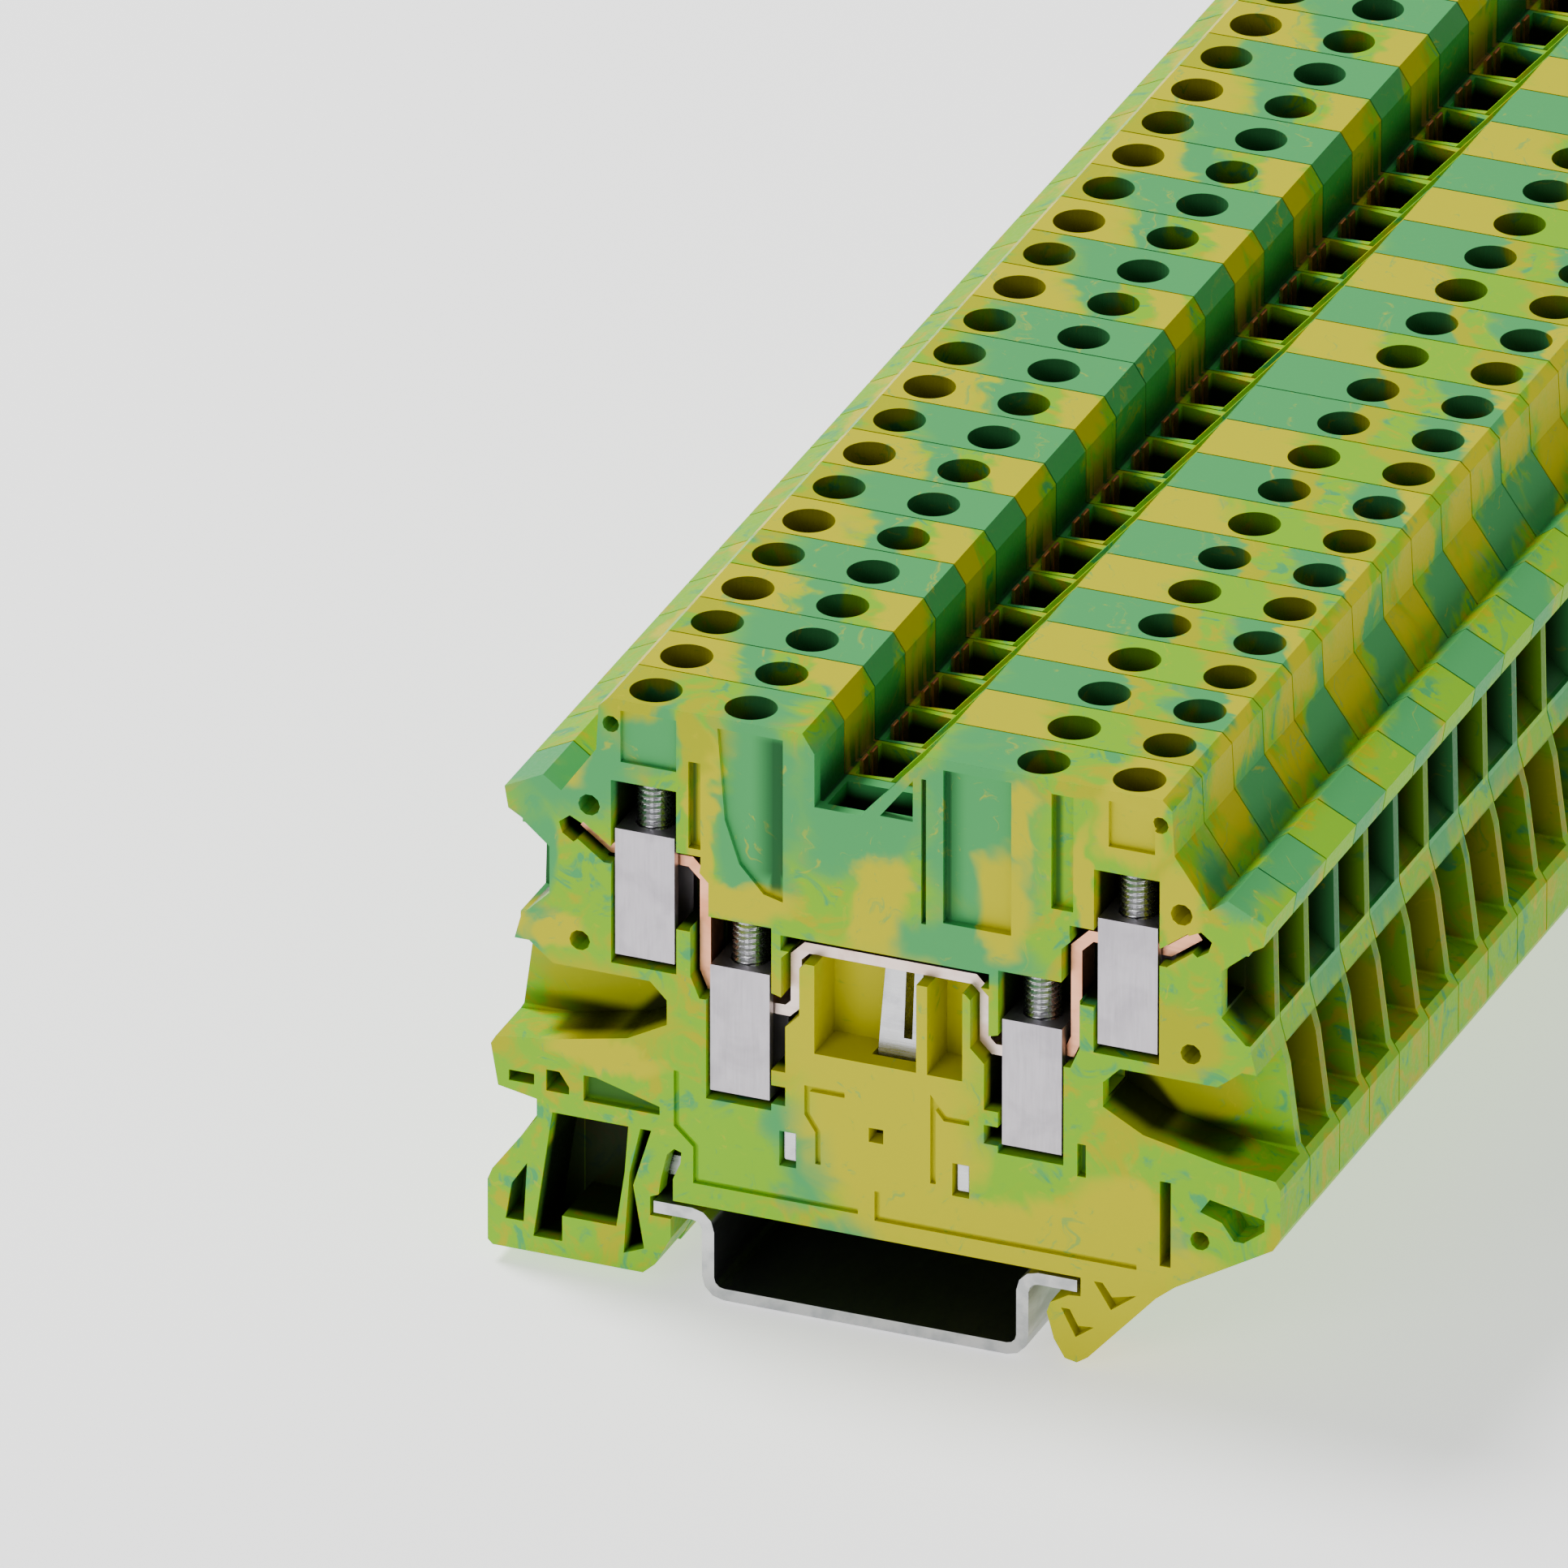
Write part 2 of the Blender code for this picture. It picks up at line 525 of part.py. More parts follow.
# ---------------------------------------------------------------- clamps
def make_cage(name, x, floor, surface):
    """A clamp cage: a sleeve that is open along X, with a hole in its roof for the screw."""
    half = CAGE_WIDTH / 2
    back = CAGE_Y + CAGE_DEPTH / 2
    front = CAGE_Y - CAGE_DEPTH / 2
    cage = box(f"clamp_cage_{name}", (x - half, x + half), (front, back), (floor, floor + CAGE_HEIGHT), SOLIDS,
               surface)
    window = box(f"window_{name}", (x - half - 1, x + half + 1), (front + CAGE_SIDE, back - CAGE_SIDE),
                 (floor + CAGE_FLOOR, floor + CAGE_HEIGHT - CAGE_ROOF), CUTTERS)
    hole_r = SCREW_SHANK_R + THREAD_CLEAR
    hole = column(f"thread_{name}", hole_r, x, CAGE_Y, (floor + CAGE_HEIGHT - CAGE_ROOF - 0.5,
                                                       floor + CAGE_HEIGHT + 1.0), CUTTERS)
    return cut(cage, [window, hole])


def make_screw(name, x, floor, surface):
    """A clamp screw, captive between the bar under its tip and the seat under its head."""
    tip = floor + CAGE_HEIGHT - CAGE_ROOF
    seat = floor + CAGE_HEIGHT + CHAMBER_OVER + SEAT
    crown = seat + CLEAR + SCREW_HEAD_HEIGHT
    head = column(f"clamp_screw_{name}", SCREW_HEAD_R, x, CAGE_Y, (seat + CLEAR, crown), SOLIDS, surface)
    shank = column(f"shank_{name}", SCREW_SHANK_R, x, CAGE_Y, (tip, seat + CLEAR + 0.5), CUTTERS)
    half_slot = SCREW_SLOT_WIDTH / 2
    slot = box(f"slot_{name}", (x - SCREW_HEAD_R - 1, x + SCREW_HEAD_R + 1), (CAGE_Y - half_slot, CAGE_Y + half_slot),
               (crown - SCREW_SLOT_DEPTH, crown + 1.0), CUTTERS)
    join(head, [shank])
    return cut(head, [slot])


# ---------------------------------------------------------------- current bars and earthing foot
def bar_paths():
    """The middle lines of the left link bar and of the centre bar, which lies under both links in the clamps."""
    outer = OUTER_CLAMP_Z + CAGE_HEIGHT - CAGE_ROOF - CLEAR - BAR / 2
    inner = INNER_CLAMP_Z + CAGE_HEIGHT - CAGE_ROOF - CLEAR - BAR / 2
    lower = inner - BAR - 0.15
    cage_half = CAGE_WIDTH / 2
    outer_x, inner_x = CENTRE_X - OUTER_CLAMP_X, CENTRE_X - INNER_CLAMP_X
    drop = inner_x - cage_half - 0.8
    riser = inner_x + cage_half + 1.8
    link_path = [
        (outer_x - cage_half - 3.0, outer + 1.8), (outer_x - cage_half - 0.6, outer), (drop - 1.2, outer),
        (drop, outer - 1.2), (drop, inner + 1.2), (drop + 0.5, inner), (inner_x + 1.6, inner),
    ]
    half_bridge = [
        (inner_x - 1.6, lower), (riser - 0.7, lower), (riser, lower + 0.7), (riser, BRIDGE_CREST - 0.9),
        (riser + 0.9, BRIDGE_CREST),
    ]
    return above_lip(link_path), above_lip(half_bridge) + mirrored(above_lip(half_bridge))


def make_bars(surface):
    link_path, bridge_path = bar_paths()
    outline = strip_outline(link_path, BAR)
    y_from, y_to = CAGE_Y - BAR_WIDTH / 2, CAGE_Y + BAR_WIDTH / 2
    plate("link_bar_left", [outline], y_from, y_to, SOLIDS, surface)
    plate("link_bar_right", [mirrored(outline)], y_from, y_to, SOLIDS, surface)
    plate("centre_bar", [strip_outline(bridge_path, BAR)], y_from, y_to, SOLIDS, surface)


def make_foot(surface):
    """The earthing foot: a fork under the centre bar, a yoke, and two claws round the rail's lips."""
    fork_top = BRIDGE_CREST - BAR / 2 - CLEAR
    under_lip = -RAIL_SHEET - CLEAR
    notch = HALF_RAIL + CLEAR
    right_claw = [
        (FOOT_REACH - 0.4, 3.2), (FOOT_REACH, 2.8), (FOOT_REACH, -2.4), (FOOT_REACH - 0.6, -2.9),
        (notch - 0.8, -2.2), (notch - 0.8, under_lip), (notch, under_lip), (notch, 1.5),
    ]
    left_claw = [(-x, z) for x, z in reversed(right_claw)]
    fork = [
        (0.3, 9.4), (0.3, 15.6), (0.9, fork_top), (2.6, fork_top), (2.4, 17.0), (3.1, 17.0), (3.3, fork_top),
        (4.0, fork_top), (3.9, 15.6), (3.9, 9.4),
    ]
    outline = above_lip([*left_claw, (-8.0, 3.2), (-8.0, 9.4), *fork, (9.2, 9.4), (9.2, 3.2), *right_claw])
    plate("earthing_foot", [outline], FOOT_FROM, FOOT_FROM + FOOT_PLATE, SOLIDS, surface)


# ---------------------------------------------------------------- assembly
def main():
    for obj in list(bpy.data.objects):
        bpy.data.objects.remove(obj)
    bpy.context.scene.collection.children.link(SOLIDS)
    bpy.context.scene.collection.children.link(CUTTERS)
    surfaces = make_materials()
    make_rail(surfaces["rail"])
    make_housings(surfaces["housing"])
    for name, x, floor in clamp_places():
        make_cage(name, x, floor, surfaces["cage"])
        make_screw(name, x, floor, surfaces["zinc"])
    make_bars(surfaces["copper"])
    make_foot(surfaces["zinc"])


main()
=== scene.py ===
"""The looks of the terminal strip: marbled plastic, plated metal, threads, screw heads, floor and light."""
import math

import bmesh
import bpy
from mathutils import Matrix, Vector


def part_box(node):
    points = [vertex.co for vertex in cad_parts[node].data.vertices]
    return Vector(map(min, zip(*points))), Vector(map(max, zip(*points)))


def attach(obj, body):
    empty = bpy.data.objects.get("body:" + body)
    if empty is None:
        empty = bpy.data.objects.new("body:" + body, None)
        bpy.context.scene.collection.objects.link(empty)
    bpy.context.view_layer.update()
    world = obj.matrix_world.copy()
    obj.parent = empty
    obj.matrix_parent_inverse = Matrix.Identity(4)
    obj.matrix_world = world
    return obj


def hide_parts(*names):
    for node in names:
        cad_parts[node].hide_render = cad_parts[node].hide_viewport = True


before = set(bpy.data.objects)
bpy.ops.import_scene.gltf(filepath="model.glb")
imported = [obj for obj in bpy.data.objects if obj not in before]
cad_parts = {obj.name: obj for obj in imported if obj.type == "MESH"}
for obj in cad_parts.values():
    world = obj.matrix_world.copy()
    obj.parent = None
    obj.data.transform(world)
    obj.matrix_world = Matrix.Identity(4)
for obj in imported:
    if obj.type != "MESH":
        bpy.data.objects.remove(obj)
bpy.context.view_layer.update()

MM = 0.001

# ---------------------------------------------------------------- places, from the frame
HOUSINGS = sorted(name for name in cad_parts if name.startswith("housing_"))
CLAMPS = ("outer_left", "inner_left", "inner_right", "outer_right")
BODY = "strip"

first_low, first_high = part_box(HOUSINGS[0])
FRONT_Y = first_low.y
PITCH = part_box(HOUSINGS[1])[0].y - first_low.y
BLOCK_THICKNESS = first_high.y - first_low.y
LIP_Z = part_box("rail")[1].z
TOP_Z = first_high.z
MIDDLE_X = (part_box("clamp_screw_outer_left")[0].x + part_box("clamp_screw_outer_right")[1].x) / 2

# The same in millimetres, for the materials.
PITCH_MM = PITCH / MM
BLOCK_MM = BLOCK_THICKNESS / MM
TOP_MM = (TOP_Z - LIP_Z) / MM
MIDDLE_MM = MIDDLE_X / MM

# ---------------------------------------------------------------- sizes
GUIDE_HOLE_R = 2.03 * MM
GUIDE_HOLE_BELOW_CROWN = 1.85 * MM
SCREW_R = 1.45 * MM
THREAD_PITCH = 0.5 * MM
THREAD_DEPTH = 0.24 * MM
HEAD_R = 1.72 * MM
HEAD_HEIGHT = 1.8 * MM
HEAD_SLOT_WIDTH = 0.6 * MM
HEAD_SLOT_HEIGHT = 1.8 * MM     # half of it is above the head
ROW_HEAD_LIFT = 0.25 * MM       # the screws of the row stand a little higher than the first block's
SHARP_EDGE = math.radians(40)
FLAT_ANGLE = math.radians(0.5)

# ---------------------------------------------------------------- studio
CAMERA_AZIMUTH = math.radians(22.15)
CAMERA_ELEVATION = math.radians(27.1)
CAMERA_DISTANCE = 4.0
CAMERA_LENS = 1203.0
CAMERA_AIM = Vector((-6.7 * MM, FRONT_Y, LIP_Z + 38.0 * MM))
FLOOR_HALF = 3.0
FLOOR_DROP = 0.2 * MM
FLOOR_GLOW = 0.85
WORLD_STRENGTH = 0.34
# Name, place, point it faces, diameter and power.
LIGHTS = [
    ("key", (-0.50, 0.10, 0.95), (0.0, -0.04, 0.02), 0.36, 15.0),
    ("front", (-0.25, -0.95, 0.40), (0.0, -0.05, 0.03), 0.4, 2.2),
]


# ---------------------------------------------------------------- node graphs
class Graph:
    """Short names for building a material's node graph."""

    def __init__(self, name):
        self.material = bpy.data.materials.new(name)
        self.material.use_nodes = True
        self.tree = self.material.node_tree
        self.shader = self.tree.nodes["Principled BSDF"]

    def node(self, kind, **settings):
        made = self.tree.nodes.new(kind)
        for key, value in settings.items():
            setattr(made, key, value)
        return made

    def feed(self, socket, value):
        if isinstance(value, bpy.types.NodeSocket):
            self.tree.links.new(value, socket)
        else:
            socket.default_value = value

    def math(self, operation, *values, clamp=False):
        made = self.node("ShaderNodeMath", operation=operation, use_clamp=clamp)
        for socket, value in zip(made.inputs, values):
            self.feed(socket, value)
        return made.outputs[0]

    def product(self, *values):
        total = values[0]
        for value in values[1:]:
            total = self.math("MULTIPLY", total, value)
        return total

    def highest(self, *values):
        top = values[0]
        for value in values[1:]:
            top = self.math("MAXIMUM", top, value)
        return top

    def rest_of(self, value):
        """What a share leaves of one."""
        return self.math("SUBTRACT", 1.0, value)

    def noise(self, vector, scale, detail=2.0, roughness=0.5, distortion=0.0):
        made = self.node("ShaderNodeTexNoise")
        self.feed(made.inputs["Vector"], vector)
        made.inputs["Scale"].default_value = scale
        made.inputs["Detail"].default_value = detail
        made.inputs["Roughness"].default_value = roughness
        made.inputs["Distortion"].default_value = distortion
        return made

    def combine(self, x, y, z):
        made = self.node("ShaderNodeCombineXYZ")
        for socket, value in zip(made.inputs, (x, y, z)):
            self.feed(socket, value)
        return made.outputs[0]

    def ramp(self, value, low, high, start=0.0, end=1.0):
        """A smooth step that goes from start to end as value goes from low to high."""
        made = self.node("ShaderNodeMapRange", interpolation_type="SMOOTHSTEP")
        settings = {"Value": value, "From Min": low, "From Max": high, "To Min": start, "To Max": end}
        for key, setting in settings.items():
            self.feed(made.inputs[key], setting)
        return made.outputs[0]

    def within(self, value, low, high, edge=0.12):
        """One between low and high, nothing outside, with a soft edge."""
        return self.product(
            self.ramp(value, low - edge, low + edge),
            self.ramp(value, high - edge, high + edge, 1.0, 0.0),
        )

    def mix(self, factor, first, second, blend="MIX"):
        made = self.node("ShaderNodeMix", data_type="RGBA", blend_type=blend)
        self.feed(made.inputs[0], factor)
        for socket, value in ((made.inputs[6], first), (made.inputs[7], second)):
            self.feed(socket, (*value, 1.0) if isinstance(value, tuple) else value)
        return made.outputs[2]

    def bump(self, height, strength, distance):
        made = self.node("ShaderNodeBump")
        made.inputs["Strength"].default_value = strength
        made.inputs["Distance"].default_value = distance
        self.feed(made.inputs["Height"], height)
        self.tree.links.new(made.outputs[0], self.shader.inputs["Normal"])

    def place(self):
        """X, Y and Z in mm: across the rail, behind the first block's face, above the rail's lips."""
        geometry = self.node("ShaderNodeNewGeometry")
        split = self.node("ShaderNodeSeparateXYZ")
        self.tree.links.new(geometry.outputs["Position"], split.inputs[0])
        x = self.math("MULTIPLY", split.outputs[0], 1 / MM)
        y = self.math("MULTIPLY", self.math("SUBTRACT", split.outputs[1], FRONT_Y), 1 / MM)
        z = self.math("MULTIPLY", self.math("SUBTRACT", split.outputs[2], LIP_Z), 1 / MM)
        return geometry, x, y, z


# ---------------------------------------------------------------- the housings' plastic
LEAF = (0.215, 0.500, 0.008)
TEAL = (0.062, 0.360, 0.105)
YELLOW = (0.520, 0.490, 0.000)
OLIVE = (0.400, 0.420, 0.000)
# Painted shade: deep green in the grooves and down the trough's wall, near black in the rooms, guide holes,
# shafts and wire mouths.
SHADE_GREEN = (0.006, 0.060, 0.016)
SHADE_BLACK = (0.003, 0.005, 0.002)

# Flow marks of the first block, and of the even and odd blocks of the row: middle x and z (mm, above the
# lips), half width, half height and colour.
FLOWS = {
    "first": [
        (-26, 37, 7, 5, "teal"), (-9, 36, 3.4, 9, "teal"), (-18, 40, 2.2, 3, "teal"),
        (-1, 37, 5, 6, "teal"), (9, 37, 5, 9, "teal"), (7, 26.5, 7, 2.6, "teal"), (-28, 24, 2.5, 8, "teal"),
        (-5.5, 6.5, 3, 4.5, "teal"), (30, 36, 3, 3, "teal"), (11, 8.5, 3.0, 2.2, "leafy"),
        (-12, 5, 5, 4, "leafy"), (-1, 0.8, 2.6, 1.2, "teal"), (2, 9, 7, 8, "yellow"),
        (14, 2.2, 15, 3.2, "yellow"), (1, 18, 9, 7, "yellow"), (20, -3, 6, 6, "yellow"),
        (21, 6, 5, 3, "yellow"), (-25, 38.5, 2.2, 3.4, "yellow"), (-13.4, 33, 1.1, 8, "yellow"),
        (-11, 27.5, 4.5, 1.8, "yellow"), (22, 40, 2.8, 3.4, "yellow"), (25.2, 33, 1.6, 4, "yellow"),
        (1.0, 28.5, 2.6, 4.4, "yellow"), (11, 31, 2.0, 4.6, "yellow"), (13, 38, 1.0, 4, "yellow"),
        (-23, 16.5, 7, 3.4, "olive"), (-22, 12, 5, 1.4, "yellow"), (18.2, 33, 1, 6, "yellow"),
        (-14.5, 40, 1.4, 3, "olive"), (26, 22, 3, 4, "olive"), (-25, 22.5, 2.4, 1.8, "yellow"),
        (-20, 43.5, 3.2, 2, "olive"), (24, 15, 5, 2.2, "olive"),
    ],
    "even": [
        (-11, 44, 6.5, 7, "teal"), (9, 44, 6, 7, "teal"), (21.5, 43.5, 2.4, 3, "teal"),
        (27, 37, 2, 3.4, "teal"), (33, 33, 2.5, 3, "leafy"), (-26, 36, 2, 3, "yellow"),
        (32, 26, 3, 5, "teal"), (-4.5, 40, 2, 9, "teal"), (-20, 43.5, 2.6, 1.5, "olive"),
        (15.5, 44, 1.2, 3, "olive"), (24.6, 41.5, 1.2, 2.6, "yellow"),
    ],
    "odd": [
        (-18.5, 44, 4.6, 5, "yellow"), (-12.2, 44, 1.6, 4, "teal"), (-6.0, 42, 1.9, 8, "yellow"),
        (8.0, 44, 4.6, 5, "yellow"), (16.5, 44, 3, 6, "leafy"), (21.5, 44, 2.6, 3, "olive"),
        (26.8, 39, 2.1, 4.2, "yellow"), (31.5, 34, 2.6, 3.2, "teal"), (-23, 40, 3, 4, "yellow"),
        (32, 16, 3, 4, "olive"), (32.5, 27, 2.5, 4, "leafy"),
    ],
}

# Grooves and steps of the open face that stay in shade: x from, x to, z from, z to.
GROOVES = [
    (-8.0, -7.0, 28.4, 41.5), (4.6, 5.1, 28.2, 40.5), (6.4, 6.9, 28.6, 41.5), (15.3, 15.9, 31.6, 41.3),
    (-14.6, -14.1, 31.0, 38.4), (1.4, 3.8, 36.9, 40.0), (17.5, 18.2, 9.0, 11.8), (24.3, 25.2, 2.6, 9.9),
    (-23.3, -17.0, 7.5, 9.7), (-30.1, -27.9, -4.1, 1.4), (-29.7, -27.2, 8.1, 9.2), (-26.6, -24.3, 8.1, 9.8),
    (-27.5, -25.3, -4.9, 3.0),
]

# Rooms behind the open face that the light does not reach: x from, x to, z from, z to.
HOLLOWS = [
    (-21.1, -15.5, 19.6, 36.0), (-13.3, -7.6, 9.4, 25.8), (10.8, 16.5, 9.4, 25.8), (18.7, 24.3, 19.6, 36.0),
    (-16.0, -12.8, 18.2, 30.5), (16.0, 19.1, 18.2, 30.5), (-7.2, 10.4, 22.9, 25.2), (-8.2, -6.4, 10.2, 19.6),
    (9.6, 11.4, 10.2, 19.6), (-25.8, -19.4, -5.2, 6.2), (-20.2, -17.6, -5.2, 6.1), (-25.4, -20.6, 28.8, 32.0),
    (23.8, 28.6, 28.8, 32.0), (-27.6, -25.7, -5.2, 3.0), (-26.7, -25.7, 2.8, 6.2),
]


TONES = {"teal": TEAL, "yellow": YELLOW, "olive": OLIVE, "leafy": LEAF}
# Brown of the painted shade on the trough's left wall.
SHADE_BROWN = (0.20, 0.11, 0.035)
FLOW_REACH = 7.0            # how far, in mm, the noise bends the flow marks
BLOCK_STEP = 9.7            # how far apart in the noise two blocks lie
PARITY_FLIP = 10.5          # the photo's row skips a colour after this block
TROUGH_FLOOR = 27.0         # below it the trough's shades stop
PLASTIC_SPECULAR = 0.08


def flow_mask(graph, x, z, flow):
    middle_x, middle_z, half_width, half_height = (float(value) for value in flow[:4])
    across = graph.math("DIVIDE", graph.math("SUBTRACT", x, middle_x), half_width)
    up = graph.math("DIVIDE", graph.math("SUBTRACT", z, middle_z), half_height)
    square = graph.math("ADD", graph.product(across, across), graph.product(up, up))
    return graph.ramp(square, 0.45, 1.6, 1.0, 0.0)


def patches(graph, x, z, rectangles, edge_x=0.12, edge_z=0.12):
    """One inside any of the rectangles, each given as x from and to, z from and to."""
    return graph.highest(*(
        graph.product(graph.within(x, x_from, x_to, edge_x), graph.within(z, z_from, z_to, edge_z))
        for x_from, x_to, z_from, z_to in rectangles
    ))


def guide_hole_shade(graph, x, depth, z):
    shades = []
    for name in CLAMPS:
        centre, _, _ = clamp_axis(name)
        across = graph.math("SUBTRACT", x, centre.x / MM)
        along = graph.math("SUBTRACT", depth, (centre.y - FRONT_Y) / MM)
        square = graph.math("ADD", graph.product(across, across), graph.product(along, along))
        inside = graph.math("LESS_THAN", graph.math("SQRT", square), GUIDE_HOLE_R / MM + 0.03)
        above = graph.math("GREATER_THAN", z, 26.0)
        down = graph.ramp(z, TOP_MM - 4.0, TOP_MM - 0.15, 0.97, 0.55)
        shades.append(graph.product(inside, above, down))
    return graph.highest(*shades)


def trough_shade(graph, x, depth, z):
    """Painted shade in the shafts below the trough's floor."""
    return graph.product(
        graph.within(x, -4.05, 4.5, 0.1),
        graph.ramp(z, 35.0, 36.45, 0.98, 0.0),
        graph.math("GREATER_THAN", z, TROUGH_FLOOR),
        graph.ramp(depth, 0.8, 1.0),
    )


def mouth_shade(graph, x, depth, z, is_first):
    """Painted shade, darker the further into a wire mouth; the first block's lower mouths are left lit above
    their floors.
    """
    middle = graph.math("ABSOLUTE", graph.math("SUBTRACT", x, MIDDLE_MM))
    upper = graph.product(
        graph.ramp(middle, 27.8, 32.0, 0.96, 0.25),
        graph.within(z, 22.9, 30.7),
        graph.math("GREATER_THAN", middle, 22.0),
    )
    lower = graph.product(
        graph.ramp(middle, 25.0, 33.5, 0.96, 0.35),
        graph.within(z, 12.2, 20.6),
        graph.math("GREATER_THAN", middle, 17.9),
    )
    above_floor = graph.math("ADD", z, graph.ramp(middle, 19.0, 23.0, -3.0, 0.0))
    lit = graph.product(is_first, graph.ramp(above_floor, 12.9, 14.2, 0.0, 0.9))
    lower = graph.product(lower, graph.rest_of(lit))
    return graph.product(graph.highest(upper, lower), graph.ramp(depth, 0.2, 2.2))


def shaft_shade(graph, x, depth, z, is_first):
    """How much painted shade a surface gets down a guide hole, in the trough's shafts or inside a wire mouth:
    0 to 1.
    """
    shade = graph.highest(
        guide_hole_shade(graph, x, depth, z),
        trough_shade(graph, x, depth, z),
        mouth_shade(graph, x, depth, z, is_first),
    )
    return graph.product(shade, graph.math("LESS_THAN", depth, BLOCK_MM - 0.1))


def marbling(graph, x, depth, z, number, owners):
    """The mixed plastic: drifting leaf green, olive and teal, the flow marks, and fine veins over them."""
    across = graph.math("ADD", graph.product(number, BLOCK_STEP), graph.product(depth, 1.4))
    swirl_place = graph.combine(x, across, z)
    swirl = graph.node("ShaderNodeSeparateColor")
    coarse = graph.noise(swirl_place, 0.14, 3.0, 0.55, 0.8)
    graph.tree.links.new(coarse.outputs["Color"], swirl.inputs[0])
    bends = [graph.product(graph.math("SUBTRACT", swirl.outputs[i], 0.5), FLOW_REACH) for i in (0, 1)]
    slant = graph.product(graph.math("SUBTRACT", depth, 3.0), 0.4, graph.rest_of(owners["first"]))
    wave_x = graph.math("ADD", graph.math("ADD", x, bends[0]), slant)
    wave_z = graph.math("ADD", z, bends[1])
    drift = graph.noise(swirl_place, 0.22, 4.0, 0.6, 1.5).outputs["Fac"]
    colour = graph.mix(graph.ramp(drift, 0.50, 0.64), LEAF, OLIVE)
    colour = graph.mix(graph.ramp(drift, 0.44, 0.34), colour, TEAL)
    for owner, flows in FLOWS.items():
        for flow in flows:
            mask = graph.product(flow_mask(graph, wave_x, wave_z, flow), owners[owner])
            colour = graph.mix(mask, colour, TONES[flow[4]])
    vein_place = graph.combine(wave_x, graph.product(number, 4.1), wave_z)
    veins = graph.noise(vein_place, 0.33, 5.0, 0.62, 2.2).outputs["Fac"]
    colour = graph.mix(graph.ramp(veins, 0.60, 0.72, 0.0, 0.55), colour, YELLOW)
    return graph.mix(graph.ramp(veins, 0.40, 0.30, 0.0, 0.55), colour, TEAL)


def shade_trough_wall(graph, colour, x, y, depth, z, owners):
    """Painted shade down the trough's left wall, in deep green and brown stripes, darkest near the trough's
    floor.
    """
    open_end = graph.product(owners["first"], graph.math("LESS_THAN", depth, 1.2))
    wall = graph.product(
        graph.within(x, -4.6, -3.9, 0.1),
        graph.ramp(z, 37.2, 40.6, 1.0, 0.0),
        graph.math("GREATER_THAN", z, TROUGH_FLOOR),
        graph.rest_of(open_end),
    )
    stripes = graph.noise(graph.combine(0.0, y, graph.product(z, 0.05)), 1.3, 2.0)
    wall_shade = graph.mix(graph.ramp(stripes.outputs["Fac"], 0.46, 0.54), SHADE_GREEN, SHADE_BROWN)
    wall_shade = graph.mix(owners["odd"], SHADE_GREEN, wall_shade)
    return graph.mix(graph.product(wall, 0.92), colour, wall_shade)


def shade_grooves(graph, colour, x, depth, z, is_first):
    """Painted shade in the sunk parts of the open face, and the two shafts' painted soft shadows."""
    left_shaft = graph.product(
        graph.ramp(x, -9.8, -7.4),
        graph.math("LESS_THAN", x, -6.85),
        graph.within(z, 29.5, 41.5, 0.6),
    )
    right_shaft = graph.product(
        graph.ramp(x, 6.3, 8.2, 0.8, 0.0),
        graph.math("GREATER_THAN", x, 6.35),
        graph.within(z, 28.8, 41.5, 0.4),
    )
    groove = graph.highest(patches(graph, x, z, GROOVES, 0.25, 0.5), left_shaft, right_shaft)
    sunk = graph.product(groove, is_first, graph.ramp(depth, 0.05, 0.3))
    return graph.mix(graph.product(sunk, 0.85), colour, SHADE_GREEN)


def shade_rooms(graph, colour, x, y, depth, z, number):
    """Painted near-black shade in the rooms behind the open face, and on the next block's front where it shows
    through them.
    """
    near_front = graph.math("LESS_THAN", y, 1.5 * PITCH_MM)
    hidden = graph.highest(graph.ramp(depth, 0.5, 1.6), graph.math("GREATER_THAN", number, 0.5))
    return graph.mix(graph.product(patches(graph, x, z, HOLLOWS), hidden, near_front, 0.97), colour, SHADE_BLACK)


def housing_material():
    graph = Graph("earth_plastic")
    _, x, y, z = graph.place()
    number = graph.math("FLOOR", graph.math("DIVIDE", y, PITCH_MM))
    depth = graph.math("SUBTRACT", y, graph.product(number, PITCH_MM))
    is_first = graph.math("LESS_THAN", number, 0.5)
    later = graph.math("GREATER_THAN", number, PARITY_FLIP)
    parity = graph.math("MODULO", graph.math("ADD", number, later), 2.0)
    is_odd = graph.product(graph.math("GREATER_THAN", parity, 0.5), graph.rest_of(is_first))
    is_even = graph.math("SUBTRACT", graph.rest_of(is_first), is_odd)
    owners = {"first": is_first, "even": is_even, "odd": is_odd}
    colour = marbling(graph, x, depth, z, number, owners)
    colour = shade_trough_wall(graph, colour, x, y, depth, z, owners)
    colour = shade_grooves(graph, colour, x, depth, z, is_first)
    colour = shade_rooms(graph, colour, x, y, depth, z, number)
    # Painted near-black shade down the guide holes, the trough's shafts and the wire mouths.
    colour = graph.mix(shaft_shade(graph, x, depth, z, is_first), colour, SHADE_BLACK)
    graph.feed(graph.shader.inputs["Base Color"], colour)
    fine = graph.noise(graph.combine(x, y, z), 3.2, 3.0)
    graph.feed(graph.shader.inputs["Roughness"], graph.ramp(fine.outputs["Fac"], 0.3, 0.7, 0.36, 0.50))
    graph.shader.inputs["Specular IOR Level"].default_value = PLASTIC_SPECULAR
    graph.bump(fine.outputs["Fac"], 0.12, 0.03 * MM)
    return graph.material


